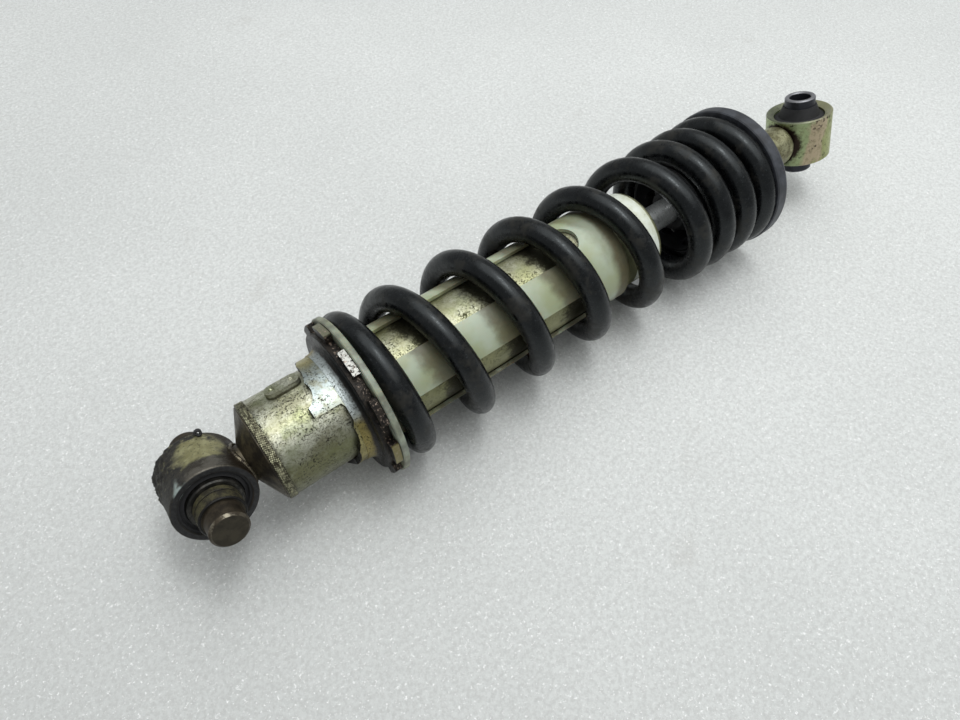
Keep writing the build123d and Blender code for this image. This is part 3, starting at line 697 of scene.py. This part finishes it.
# ---- pieces modelled here ----
def mesh_object(name, points, faces, paint):
    """A smooth-shaded object in one of the paints."""
    mesh = bpy.data.meshes.new(name)
    mesh.from_pydata([tuple(p) for p in points], [], faces)
    mesh.validate()
    mesh.update()
    mesh.polygons.foreach_set("use_smooth", [True] * len(mesh.polygons))
    mesh.materials.append(PAINTS[paint])
    made = bpy.data.objects.new(name, mesh)
    bpy.context.scene.collection.objects.link(made)
    return made


def rings_mesh(name, rings, paint, closed_loop=False):
    """A skin over a list of rings of equal length, joined end to end or closed by a cap at each end."""
    count = len(rings[0])
    points = [point for ring in rings for point in ring]
    faces = []
    for row in range(len(rings) - (0 if closed_loop else 1)):
        after = (row + 1) % len(rings)
        for column in range(count):
            beside = (column + 1) % count
            here, there = row * count, after * count
            faces.append((here + column, here + beside, there + beside, there + column))
    if not closed_loop:
        faces.append(tuple(reversed(range(count))))
        faces.append(tuple((len(rings) - 1) * count + column for column in range(count)))
    return mesh_object(name, points, faces, paint)


def lathe(name, outline, paint, columns=128, place=Matrix.Identity(4), shape=None):
    """A closed outline of (station, radius) in mm, turned about X. shape moves each point."""
    rings = []
    for station, radius in outline:
        ring = []
        for column in range(columns):
            turn = 2 * math.pi * column / columns
            point = Vector((station, radius * math.cos(turn), radius * math.sin(turn)))
            ring.append(place @ ((shape(point) if shape else point) * MM))
        rings.append(ring)
    return rings_mesh(name, rings, paint, closed_loop=True)


def spring_station(angle):
    """Station of the wire's centre, with the pitch easing from one value to the next at each change."""
    station = SPRING_START + PITCHES[0] * (angle - SPRING_FIRST) / 360
    for (start, end), before, after in zip(CHANGES, PITCHES, PITCHES[1:]):
        inside = min(max(angle - start, 0), end - start)
        station += (after - before) * (inside * inside / (2 * (end - start)) + max(angle - end, 0)) / 360
    return station


def spring_piece(name, first, last):
    """The wire from one angle to another, with its ends ground flat at the seats."""
    rings = []
    degrees_per_ring = 6
    corners = 32
    steps = int((last - first) / degrees_per_ring)
    for index in range(steps + 1):
        angle = first + (last - first) * index / steps
        turn = math.radians(angle)
        rise = (spring_station(angle + 1) - spring_station(angle - 1)) / math.radians(2)
        out = Vector((0, math.cos(turn), math.sin(turn)))
        middle = SPRING_R - WIRE_R
        ahead = Vector((rise, -middle * math.sin(turn), middle * math.cos(turn))).normalized()
        side = ahead.cross(out)
        ring = []
        for corner in range(corners):
            roll = 2 * math.pi * corner / corners
            point = out * (middle + WIRE_R * math.cos(roll)) + side * (WIRE_R * math.sin(roll))
            station = min(max(spring_station(angle) + point.x, SPRING_LOW), SPRING_HIGH)
            ring.append(Vector(((station - EYE_TO_EYE) * MM, point.y * MM, point.z * MM)))
        rings.append(ring)
    return rings_mesh(name, rings, "spring")


cut_station = spring_station(SPRING_CUT)
spring_foot = spring_piece("spring_foot_coils", SPRING_FIRST, SPRING_CUT + 1)
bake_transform(spring_foot)
spring_body = spring_piece("spring_main_coils", SPRING_CUT, SPRING_LAST)
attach(spring_body, "damper_body")
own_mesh(spring_body)
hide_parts("coil_spring")


def bump_stop():
    """Foam bump stop with rounded bellows that get smaller towards the damper."""
    outline = []
    steps = 48
    for index in range(steps + 1):
        share = index / steps
        swell = BUMP_SWELL * (1 - 0.3 * share) * math.cos(2 * math.pi * BUMP_BELLOWS * share)
        radius = BUMP_HIGH_R + (BUMP_LOW_R - BUMP_HIGH_R) * share - swell
        outline.append((BUMP_HIGH + (BUMP_LOW - BUMP_HIGH) * share, radius))
    outline += [(BUMP_LOW + 0.2, BUMP_BORE + 0.6), (BUMP_LOW, BUMP_BORE), (BUMP_HIGH - 0.1, BUMP_BORE)]
    return lathe("bump_stop_foam", outline, "rubber", 96, Matrix.Translation(LOWER_EYE))


foam = bump_stop()
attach(foam, "rod_assembly")
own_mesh(foam)
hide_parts("bump_stop")


def knurl_band():
    """Diamond knurl rolled into the tube's lower end."""
    last = 22
    rings = []
    for row in range(last + 1):
        station = KNURL_LOW + (KNURL_HIGH - KNURL_LOW) * row / last
        edge = min(1.0, min(row, last - row) / 1.5)
        ring = []
        for column in range(KNURL_COLUMNS):
            turn = 2 * math.pi * column / KNURL_COLUMNS
            left = abs(math.sin(KNURL_LINES * turn + station * KNURL_SLANT))
            right = abs(math.sin(KNURL_LINES * turn - station * KNURL_SLANT))
            wear = 0.5 + 0.5 * noise.noise(Vector((station, 4 * math.cos(turn), 4 * math.sin(turn))) * 1.3)
            radius = KNURL_R + edge * (0.06 + KNURL_DEPTH * min(left, right) * (0.2 + 1.3 * wear))
            ring.append(at(station, radius, math.degrees(turn)))
        rings.append(ring)
    # the band's back, just inside the tube's wall
    for station in (KNURL_HIGH, KNURL_LOW):
        back = [at(station, KNURL_R - 0.2, 360 * column / KNURL_COLUMNS) for column in range(KNURL_COLUMNS)]
        rings.append(back)
    return rings_mesh("knurl_band", rings, "knurl", closed_loop=True)


knurl = knurl_band()
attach(knurl, "damper_body")

# from the lower eye's own axes (along the pin, across it, along the shock) to the frame
EYE_PLACE = Matrix.Translation(LOWER_EYE) @ Matrix((
    (0, 0, 1, 0),
    (NEAR.y, CROSS.y, 0, 0),
    (NEAR.z, CROSS.z, 0, 0),
    (0, 0, 0, 1),
))


def crusted(point):
    """Pushes the eye's outer wall out under lumps of baked grime, on the side away from the damper."""
    radius = math.hypot(point.y, point.z)
    if radius < CRUST_R:
        return point
    outward = Vector((0, point.y, point.z)) / radius
    away = min(1.0, max(0.0, (-point.z - 1.0) / 9.0)) * min(1.0, max(0.0, (3.0 - point.x) / 5.0))
    lumps = max(0.0, noise.fractal(point * 0.55, 0.8, 2.1, 4) + 0.35)
    return point + outward * (0.05 * noise.noise(point * 0.4) + 0.95 * away * lumps)


def eye_outline():
    """The barrel's section, with enough points along its wall for the grime to shape."""
    face = [EYE_BORE + 0.35 * step for step in range(4)]
    bevel = 0.2
    wall = 2 * (EYE_HALF - EYE_EDGE)
    steps = 34
    outline = [(-EYE_HALF, radius) for radius in face]
    outline += [(-EYE_HALF, EYE_R - EYE_EDGE), (-EYE_HALF + bevel, EYE_R - bevel)]
    outline += [(-EYE_HALF + EYE_EDGE + wall * step / steps, EYE_R) for step in range(steps + 1)]
    outline += [(EYE_HALF - bevel, EYE_R - bevel), (EYE_HALF, EYE_R - EYE_EDGE)]
    outline += [(EYE_HALF, radius) for radius in reversed(face)]
    return outline


eye = lathe("lower_eye_crusted", eye_outline(), "eye", 200, EYE_PLACE, crusted)
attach(eye, "damper_body")
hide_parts("lower_eye_barrel")


def torn_tag():
    """A torn strip of the far seal, curled up and lying on the eye's rim."""
    rings = []
    curl = Matrix.Rotation(CURL_LEAN, 4, "Z")
    steps = 40
    for index in range(steps + 1):
        share = index / steps
        bend = math.radians(-60 + 330 * share)
        size = 1.2 - 0.55 * share
        ring = []
        for side, lift in ((-1, -1), (1, -1), (1, 1), (-1, 1)):
            ripple = 0.12 * noise.noise(Vector((share * 5, side * 2.0, 1.0)))
            radius = size + lift * CURL_THICKNESS / 2 + ripple
            local = Vector((side * (1.7 - 0.5 * share), radius * math.cos(bend), radius * math.sin(bend)))
            ring.append(EYE_PLACE @ ((CURL_PLACE + curl @ local) * MM))
        rings.append(ring)
    return rings_mesh("torn_seal_curl", rings, "rubber")


tag = torn_tag()
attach(tag, "damper_body")


def weld_bead():
    """The uneven weld where the lower eye joins the damper's neck."""
    rings = []
    columns = 72
    corners = 10
    for index in range(columns):
        turn = 2 * math.pi * index / columns
        swell = 1 + 0.45 * noise.noise(Vector((3 * math.cos(turn), 3 * math.sin(turn), 4.0)))
        out = Vector((0, math.cos(turn), math.sin(turn)))
        # the eye's wall curves away from the neck on the sides that face along its axis
        aside = NECK_R * out.dot(CROSS)
        station = math.sqrt(EYE_R ** 2 - aside ** 2)
        ring = []
        for corner in range(corners):
            roll = 2 * math.pi * corner / corners
            along = Vector((station + swell * math.sin(roll), 0, 0))
            point = out * (WELD_R + swell * math.cos(roll)) + along
            ring.append(LOWER_EYE + point * MM)
        rings.append(ring)
    return rings_mesh("eye_weld_bead", rings, "bead", closed_loop=True)


bead = weld_bead()
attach(bead, "damper_body")


# ---- floor, light and camera ----
def floor_paint():
    """A pale speckled floor with a few sparkles, and painted light falloff that makes it a little darker to
    one side.
    """
    paint = Paint("Floor")
    # these colours are linear
    grey = (0.50, 0.50, 0.49)
    wide = paint.noise(160, 3, 0.5)
    base = paint.mix(paint.step(wide, 0.3, 0.7), (0.72, 0.735, 0.725), (0.78, 0.795, 0.785))
    # painted light falloff: darker towards -X and -Y
    edge = paint.step(paint.along((0.8, 0.6, 0), (-0.2, 0, 0)), -170, 120)
    base = paint.mix(edge, paint.mix(0.35, base, grey), base)
    grain = paint.noise(1.8, 5, 0.8, shift=2.4)
    base = paint.mix(paint.step(grain, 0.40, 0.62, 0.0, 0.5), base, grey)
    sparkle = paint.step(paint.noise(1.2, 3, 0.75, shift=6.4), 0.59, 0.68)
    base = paint.mix(sparkle, base, (0.97, 0.97, 0.97))
    smudge = paint.step(paint.noise(42, 4, 0.7, shift=8.6), 0.62, 0.76, 0.0, 0.16)
    base = paint.mix(smudge, base, (0.40, 0.37, 0.33))
    paint.set("Base Color", base)
    paint.set("Roughness", paint.minus(0.7, paint.times(sparkle, 0.4)))
    paint.bump(grain, 0.7, 0.8)
    return paint.material


bpy.ops.mesh.primitive_plane_add(size=8, location=(-0.15, 0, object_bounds()[0].z))
floor = bpy.context.object
floor.name = "floor"
floor.data.materials.append(floor_paint())

world = bpy.data.worlds.new("Studio")
bpy.context.scene.world = world
world.use_nodes = True
sky = world.node_tree.nodes["Background"]
sky.inputs["Color"].default_value = (0.95, 0.98, 0.98, 1)
sky.inputs["Strength"].default_value = 0.36


def area_light(name, place, target, size, energy, color):
    """A soft rectangular light at a place, turned to shine on a target."""
    data = bpy.data.lights.new(name, "AREA")
    data.shape = "RECTANGLE"
    data.size, data.size_y = size
    data.energy = energy
    data.color = color
    lamp = bpy.data.objects.new(name, data)
    bpy.context.scene.collection.objects.link(lamp)
    lamp.location = place
    lamp.rotation_euler = (Vector(target) - Vector(place)).to_track_quat("-Z", "Y").to_euler()


area_light("ceiling", (0.15, 0.05, 1.30), (0.0, 0.0, 0), (2.2, 1.6), 17.0, (0.985, 1.0, 0.995))
area_light("lamp", (0.0, -0.05, 1.0), (-0.15, 0, 0), (0.42, 0.24), 2.6, (0.98, 1.0, 1.0))

camera_data = bpy.data.cameras.new("camera")
camera_data.lens = 25.92
camera_data.sensor_width = 36.0
camera_data.clip_start = 0.01
camera = bpy.data.objects.new("camera", camera_data)
bpy.context.scene.collection.objects.link(camera)
# the camera looks down from in front of the lower eye, rolled a little to its left
CAMERA_PLACE = Vector((-318.34, -136.19, 235.05)) * MM
CAMERA_FORWARD = Vector((0.34414, 0.42966, -0.83484)).normalized()
CAMERA_UP = Vector((-0.0234, 0, 0.9997))
right = CAMERA_FORWARD.cross(CAMERA_UP).normalized()
turned = Matrix((right, right.cross(CAMERA_FORWARD), -CAMERA_FORWARD)).transposed().to_4x4()
camera.matrix_world = Matrix.Translation(CAMERA_PLACE) @ turned
bpy.context.scene.camera = camera
bpy.context.scene.view_settings.view_transform = "Standard"
